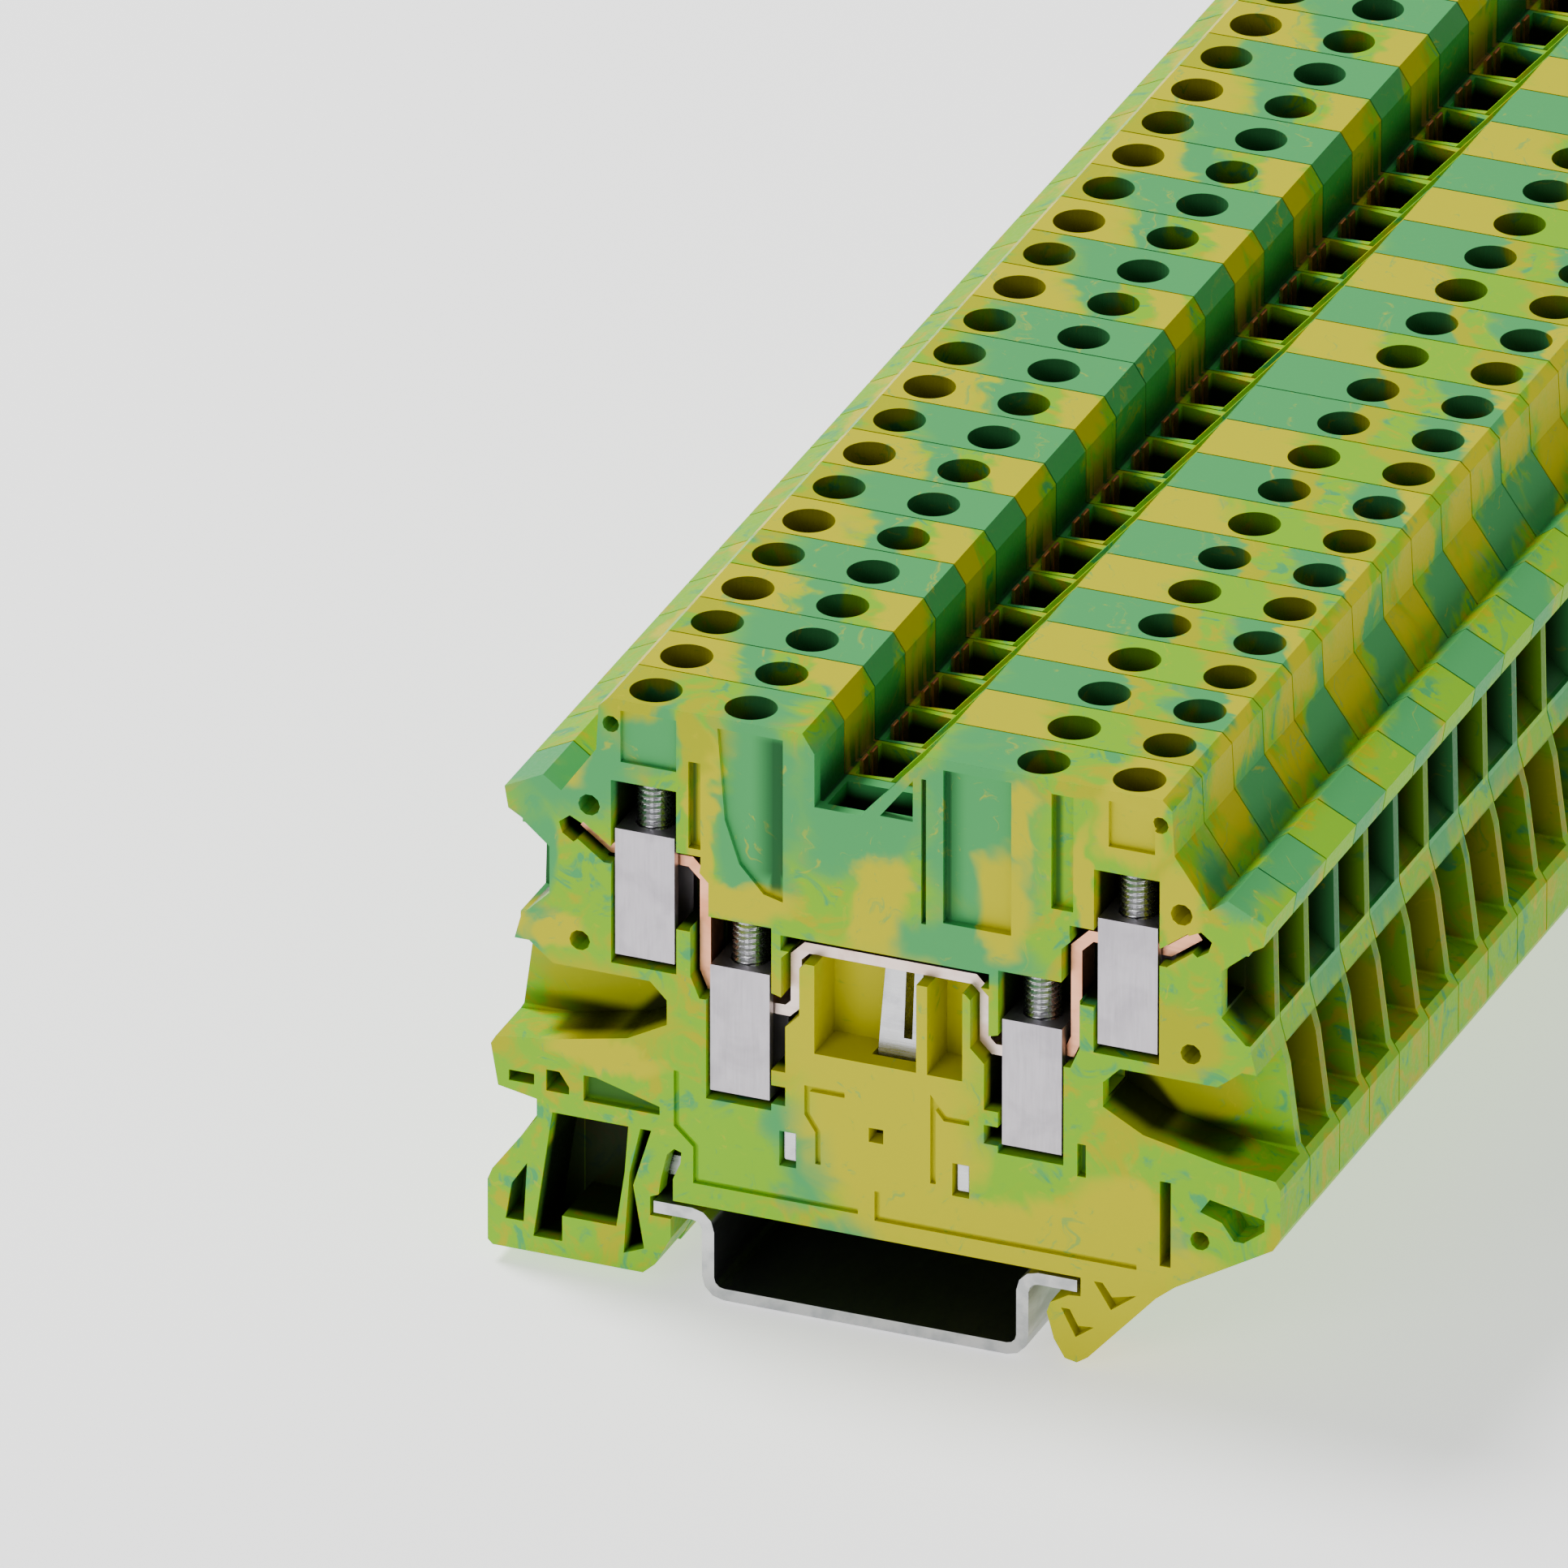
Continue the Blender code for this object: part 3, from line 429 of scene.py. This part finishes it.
# ---------------------------------------------------------------- metals
# Tint, stain, roughness and the axis of the grain.
METALS = {
    "zinc": ((0.55, 0.55, 0.57), (0.40, 0.40, 0.43), 0.28, 0),
    "cage_nickel": ((0.48, 0.45, 0.49), (0.41, 0.38, 0.42), 0.42, 2),
    "tinned_copper": ((0.85, 0.40, 0.24), (0.72, 0.30, 0.16), 0.34, 0),
    "tinned_bridge": ((0.80, 0.64, 0.58), (0.66, 0.46, 0.38), 0.34, 0),
}
RAIL_STEEL = (0.50, 0.50, 0.51)
RAIL_STAIN = (0.38, 0.39, 0.41)
# Painted shade inside the rail's channel.
RAIL_SHADE_BLACK = (0.012, 0.012, 0.014)


def metal_material(name):
    """Plated metal with fine drawn grain along one axis, faint stains and uneven gloss."""
    tint, darker, roughness, grain_axis = METALS[name]
    graph = Graph(name)
    _, x, y, z = graph.place()
    stretch = [6.0, 6.0, 6.0]
    stretch[grain_axis] = 0.35
    parts = [graph.product(value, factor) for value, factor in zip((x, y, z), stretch)]
    grain = graph.noise(graph.combine(*parts), 1.0, 4.0, 0.6)
    stain = graph.noise(graph.combine(x, y, z), 0.28, 3.0, 0.55, 0.4)
    colour = graph.mix(graph.ramp(stain.outputs["Fac"], 0.42, 0.66), tint, darker)
    graph.feed(graph.shader.inputs["Base Color"], colour)
    graph.shader.inputs["Metallic"].default_value = 1.0
    uneven = graph.ramp(grain.outputs["Fac"], 0.3, 0.7, roughness - 0.06, roughness + 0.08)
    graph.feed(graph.shader.inputs["Roughness"], uneven)
    graph.bump(grain.outputs["Fac"], 0.25, 0.02 * MM)
    return graph.material


def rail_material():
    """Grey passivated steel; the inside of the channel is painted near black and not metallic, as shade."""
    graph = Graph("rail_steel")
    geometry, x, y, z = graph.place()
    stain = graph.noise(graph.combine(x, graph.product(y, 0.3), z), 0.5, 4.0, 0.6)
    steel = graph.mix(graph.ramp(stain.outputs["Fac"], 0.4, 0.65), RAIL_STEEL, RAIL_STAIN)
    facing = graph.node("ShaderNodeSeparateXYZ")
    graph.tree.links.new(geometry.outputs["Normal"], facing.inputs[0])
    end_face = graph.math("GREATER_THAN", graph.math("ABSOLUTE", facing.outputs[1]), 0.5)
    inside = graph.product(graph.within(x, -12.75, 12.75), graph.within(z, -6.75, 0.2))
    channel_shade = graph.product(inside, graph.rest_of(end_face))
    graph.feed(graph.shader.inputs["Base Color"], graph.mix(channel_shade, steel, RAIL_SHADE_BLACK))
    graph.feed(graph.shader.inputs["Metallic"], graph.rest_of(channel_shade))
    graph.feed(graph.shader.inputs["Roughness"], graph.ramp(stain.outputs["Fac"], 0.3, 0.7, 0.30, 0.46))
    graph.bump(stain.outputs["Fac"], 0.1, 0.03 * MM)
    return graph.material


# ---------------------------------------------------------------- mesh helpers
def mesh_from(name, shape):
    """A mesh made of the bmesh, which is freed."""
    mesh = bpy.data.meshes.new(name)
    shape.to_mesh(mesh)
    shape.free()
    return mesh


def link(name, mesh, place=(0.0, 0.0, 0.0)):
    obj = bpy.data.objects.new(name, mesh)
    obj.location = place
    bpy.context.scene.collection.objects.link(obj)
    return obj


def add_object(name, mesh, surface):
    obj = link(name, mesh)
    mesh.materials.clear()
    mesh.materials.append(surface)
    return obj


def round_edges(obj, width):
    bevel = obj.modifiers.new("edges", "BEVEL")
    bevel.width = width
    bevel.segments = 2
    bevel.limit_method = "ANGLE"
    bevel.angle_limit = SHARP_EDGE
    bevel.use_clamp_overlap = True


def soften(obj, width):
    """Merges the flat stretches of a mesh and rounds its edges."""
    merge = obj.modifiers.new("flat", "DECIMATE")
    merge.decimate_type = "DISSOLVE"
    merge.angle_limit = FLAT_ANGLE
    round_edges(obj, width)


def subtract(obj, cutter):
    drill = obj.modifiers.new("drill", "BOOLEAN")
    drill.operation = "DIFFERENCE"
    drill.solver = "EXACT"
    drill.object = cutter


def settle(obj):
    """The object's mesh with its modifiers applied."""
    bpy.context.view_layer.update()
    return bpy.data.meshes.new_from_object(obj.evaluated_get(bpy.context.evaluated_depsgraph_get()))


def cylinder_mesh(name, radius, length, steps):
    shape = bmesh.new()
    bmesh.ops.create_cone(shape, cap_ends=True, segments=steps, radius1=radius, radius2=radius, depth=length)
    return mesh_from(name, shape)


def box_object(name, size, place):
    shape = bmesh.new()
    bmesh.ops.create_cube(shape, size=1.0)
    bmesh.ops.scale(shape, vec=size, verts=shape.verts)
    return link(name, mesh_from(name, shape), place)


def prism_mesh(name, corners, z_from, z_to):
    """An upright prism over corners in X and Y."""
    shape = bmesh.new()
    rings = [[shape.verts.new((x, y, z)) for x, y in corners] for z in (z_from, z_to)]
    shape.faces.new(list(reversed(rings[0])))
    shape.faces.new(rings[1])
    for i in range(len(corners)):
        j = (i + 1) % len(corners)
        shape.faces.new((rings[0][i], rings[0][j], rings[1][j], rings[1][i]))
    bmesh.ops.recalc_face_normals(shape, faces=shape.faces)
    return mesh_from(name, shape)


def clamp_axis(name):
    """The middle of a clamp screw, and its lowest and highest z."""
    low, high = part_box(f"clamp_screw_{name}")
    return (low + high) / 2, low.z, high.z


# ---------------------------------------------------------------- housings
# The inner ends of the right-hand wire mouths: x from and to, z from and to.  Both sides have them.
TUNNELS = [(24.5, 30.0, 25.3, 28.4), (15.5, 20.5, 15.5, 17.4)]
TUNNEL_WIDTH = 3.4
TUNNEL_DEPTH = 3.0      # its middle, behind the block's face
# The wedges cut from a block's two bars across the trough: y of the corner at the left wall, and y of the
# side that runs from there to the tip.
TAPERS = [(0.2, 0.95), (5.75, 4.9)]


def wire_tunnels(offset_y):
    """Boxes that carry the wire mouths on into a block."""
    boxes = []
    for x_from, x_to, z_from, z_to in TUNNELS:
        size = ((x_to - x_from) * MM, TUNNEL_WIDTH * MM, (z_to - z_from) * MM)
        for side in (-1, 1):
            middle = MIDDLE_X + side * ((x_from + x_to) / 2 * MM - MIDDLE_X)
            place = (middle, FRONT_Y + TUNNEL_DEPTH * MM + offset_y, LIP_Z + (z_from + z_to) / 2 * MM)
            boxes.append(box_object("tunnel", size, place))
    return boxes


def bar_tapers(offset_y):
    """Wedges that narrow the bars across the trough towards its left wall."""
    wedges = []
    for y_wide, y_narrow in TAPERS:
        corners = [(-3.45, y_wide), (-3.45, y_narrow), (3.2, y_narrow)]
        world = [(x * MM, FRONT_Y + offset_y + y * MM) for x, y in corners]
        wedges.append(link("taper", prism_mesh("taper", world, LIP_Z + 29.5 * MM, LIP_Z + 37.4 * MM)))
    return wedges


def round_housing(source, offset_y, edge):
    """A copy of a CAD housing with truly round guide holes and softened edges."""
    copy = link("housing_work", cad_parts[source].data.copy())
    cutters = []
    for name in CLAMPS:
        centre, _, crown = clamp_axis(name)
        floor, roof = crown - GUIDE_HOLE_BELOW_CROWN, TOP_Z + MM
        guide = cylinder_mesh("guide", GUIDE_HOLE_R, roof - floor, 32)
        cutters.append(link("guide", guide, (centre.x, centre.y + offset_y, (roof + floor) / 2)))
    if offset_y:
        cutters += wire_tunnels(offset_y) + bar_tapers(offset_y)
    for cutter in cutters:
        subtract(copy, cutter)
    soften(copy, edge)
    mesh = settle(copy)
    for obj in (*cutters, copy):
        bpy.data.objects.remove(obj)
    return mesh


def make_housings(plastic):
    first = add_object("first_block", round_housing(HOUSINGS[0], 0.0, 0.12 * MM), plastic)
    row_mesh = round_housing(HOUSINGS[1], PITCH, 0.14 * MM)
    blocks = [first]
    for i in range(len(HOUSINGS) - 1):
        block = add_object(f"row_block_{i + 2:02d}", row_mesh, plastic)
        block.location.y = i * PITCH
        blocks.append(block)
    for block, name in zip(blocks, HOUSINGS):
        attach(block, BODY)
        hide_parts(name)


# ---------------------------------------------------------------- screws
def threaded_shank(shape, centre, low, high):
    """Adds a right-handed thread to the bmesh, as a grid of points round the axis."""
    around, per_turn = 28, 6
    rows = int((high - low) / THREAD_PITCH * per_turn)
    rings = []
    for row in range(rows + 1):
        z = low + (high - low) * row / rows
        ring = []
        for step in range(around):
            turn = step / around
            phase = ((z - low) / THREAD_PITCH - turn) % 1.0
            radius = SCREW_R - THREAD_DEPTH * abs(2 * phase - 1)
            if row in (0, rows):
                radius = SCREW_R - THREAD_DEPTH
            angle = 2 * math.pi * turn
            x, y = centre.x + radius * math.cos(angle), centre.y + radius * math.sin(angle)
            ring.append(shape.verts.new((x, y, z)))
        rings.append(ring)
    for lower, upper in zip(rings, rings[1:]):
        for step in range(around):
            nxt = (step + 1) % around
            shape.faces.new((lower[step], lower[nxt], upper[nxt], upper[step]))
    shape.faces.new(list(reversed(rings[0])))
    shape.faces.new(rings[-1])


def slotted_head(name, centre, low, high, radius):
    """A cheese head with a slot, as its own mesh in world places."""
    middle = (centre.x, centre.y, (low + high) / 2)
    head = link(name, cylinder_mesh(name, radius, high - low, 40), middle)
    slot_size = (4 * radius, HEAD_SLOT_WIDTH, HEAD_SLOT_HEIGHT)
    slot = box_object("slot", slot_size, (centre.x, centre.y, high))
    subtract(head, slot)
    round_edges(head, 0.1 * MM)
    mesh = settle(head)
    mesh.transform(Matrix.Translation(middle))
    for obj in (head, slot):
        bpy.data.objects.remove(obj)
    return mesh


def make_screws(steel):
    """The first block's four screws, which turn, and the heads of the row's screws, which do not."""
    heads = bmesh.new()
    for name in CLAMPS:
        centre, low, high = clamp_axis(name)
        head = slotted_head("head", centre, high - HEAD_HEIGHT, high, HEAD_R)
        shape = bmesh.new()
        shape.from_mesh(head)
        threaded_shank(shape, centre, low, high - HEAD_HEIGHT)
        screw = add_object(f"screw_{name}_threaded", mesh_from(f"screw_{name}", shape), steel)
        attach(screw, f"screw_{name}")
        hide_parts(f"clamp_screw_{name}")
        for i in range(1, len(HOUSINGS)):
            row_head = head.copy()
            row_head.transform(Matrix.Translation((0.0, i * PITCH, ROW_HEAD_LIFT)))
            heads.from_mesh(row_head)
            bpy.data.meshes.remove(row_head)
    row = add_object("row_screw_heads", mesh_from("row_screw_heads", heads), steel)
    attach(row, BODY)


# ---------------------------------------------------------------- small details
def make_boxes(name, boxes, surface, edge):
    """Small rounded boxes as one piece, each given by its x, y and z ranges in mm, as Graph.place has them."""
    shape = bmesh.new()
    for ranges in boxes:
        made = bmesh.ops.create_cube(shape, size=1.0)
        bmesh.ops.scale(shape, vec=[(high - low) * MM for low, high in ranges], verts=made["verts"])
        x, y, z = ((low + high) / 2 * MM for low, high in ranges)
        bmesh.ops.translate(shape, vec=Vector((x, FRONT_Y + y, LIP_Z + z)), verts=made["verts"])
    bmesh.ops.bevel(shape, geom=shape.edges, offset=edge, segments=2, affect="EDGES", clamp_overlap=True)
    piece = add_object(name, mesh_from(name, shape), surface)
    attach(piece, BODY)


# The ribs in a seam: x from and to, z from and to.  The last two would show in the first block's foot.
SEAM_RIBS = [
    ((-21.0, -6.0), (2.0, 41.4)), ((8.0, 23.0), (2.0, 41.4)), ((-5.0, 7.0), (2.0, 26.0)),
    ((-28.0, -19.0), (-5.6, 4.5)), ((17.5, 19.5), (-5.6, 1.9)),
]
RIBS_IN_FIRST_SEAM = 3
FOOT_ENDS = [((-6.9, -5.85), (0.5, 2.2), (5.4, 7.9)), ((7.4, 8.45), (0.5, 2.2), (5.5, 7.9))]
# The two springs of a bridge shaft: y from and to behind the block's face, z from and to.
SPRING_X = (-3.5, -3.2)
SPRINGS = [((1.3, 2.5), (28.8, 37.2)), ((3.2, 4.4), (28.8, 37.0))]


def make_ribs(plastic):
    """The low moulded ribs that close the seam between each block and the next."""
    ribs = []
    for i in range(1, len(HOUSINGS)):
        seam = (i * PITCH_MM - (PITCH_MM - BLOCK_MM) + 0.01, i * PITCH_MM - 0.01)
        for x_range, z_range in SEAM_RIBS[:RIBS_IN_FIRST_SEAM] if i == 1 else SEAM_RIBS:
            ribs.append((x_range, seam, z_range))
    make_boxes("seam_ribs", ribs, plastic, 0.02 * MM)


def make_details(steel, copper):
    """The foot's two bent-up ends behind their windows, and the springs of the bridge shafts."""
    make_boxes("foot_ends", FOOT_ENDS, steel, 0.1 * MM)
    springs = []
    for i in range(1, len(HOUSINGS)):
        for (y_from, y_to), z_range in SPRINGS:
            springs.append((SPRING_X, (i * PITCH_MM + y_from, i * PITCH_MM + y_to), z_range))
    make_boxes("bridge_springs", springs, copper, 0.08 * MM)


# ---------------------------------------------------------------- carried-over CAD nodes
def dress(name, surface, edge):
    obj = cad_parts[name]
    obj.data.materials.clear()
    obj.data.materials.append(surface)
    soften(obj, edge)


# ---------------------------------------------------------------- stage, light and camera
def make_stage():
    graph = Graph("studio_floor")
    geometry = graph.node("ShaderNodeNewGeometry")
    mottle = graph.noise(geometry.outputs["Position"], 3.0, 2.0)
    shade = graph.mix(mottle.outputs["Fac"], (0.93, 0.93, 0.93), (0.96, 0.96, 0.96))
    graph.feed(graph.shader.inputs["Base Color"], shade)
    graph.shader.inputs["Roughness"].default_value = 0.8
    graph.shader.inputs["Emission Color"].default_value = (1.0, 1.0, 1.0, 1.0)
    graph.shader.inputs["Emission Strength"].default_value = FLOOR_GLOW
    shape = bmesh.new()
    bmesh.ops.create_grid(shape, x_segments=1, y_segments=1, size=FLOOR_HALF)
    floor = add_object("floor", mesh_from("floor", shape), graph.material)
    floor.location.z = -FLOOR_DROP


def add_light(name, place, aim, size, power):
    data = bpy.data.lights.new(name, "AREA")
    data.shape = "DISK"
    data.size = size
    data.energy = power
    lamp = link(name, data, place)
    lamp.rotation_mode = "QUATERNION"
    lamp.rotation_quaternion = (Vector(aim) - Vector(place)).to_track_quat("-Z", "Y")


def make_lights():
    world = bpy.data.worlds.new("studio")
    world.use_nodes = True
    background = world.node_tree.nodes["Background"]
    background.inputs["Color"].default_value = (1.0, 1.0, 1.0, 1.0)
    background.inputs["Strength"].default_value = WORLD_STRENGTH
    bpy.context.scene.world = world
    for light in LIGHTS:
        add_light(*light)


def make_camera():
    level = math.cos(CAMERA_ELEVATION)
    sideways, forward = math.sin(CAMERA_AZIMUTH) * level, -math.cos(CAMERA_AZIMUTH) * level
    back = Vector((sideways, forward, math.sin(CAMERA_ELEVATION)))
    data = bpy.data.cameras.new("camera")
    data.sensor_width = 36.0
    data.lens = CAMERA_LENS
    data.clip_start, data.clip_end = 0.05, 20.0
    camera = link("camera", data, CAMERA_AIM + back * CAMERA_DISTANCE)
    camera.rotation_mode = "QUATERNION"
    camera.rotation_quaternion = (-back).to_track_quat("-Z", "Y")
    bpy.context.scene.camera = camera


# ---------------------------------------------------------------- assembly
def main():
    plastic = housing_material()
    steel, nickel, copper, tinned = (metal_material(name) for name in METALS)
    make_housings(plastic)
    make_screws(steel)
    make_details(steel, copper)
    make_ribs(plastic)
    dress("rail", rail_material(), 0.08 * MM)
    for name in CLAMPS:
        dress(f"clamp_cage_{name}", nickel, 0.15 * MM)
    dress("link_bar_left", copper, 0.08 * MM)
    dress("link_bar_right", copper, 0.08 * MM)
    dress("centre_bar", tinned, 0.08 * MM)
    dress("earthing_foot", steel, 0.05 * MM)
    make_stage()
    make_lights()
    make_camera()


main()
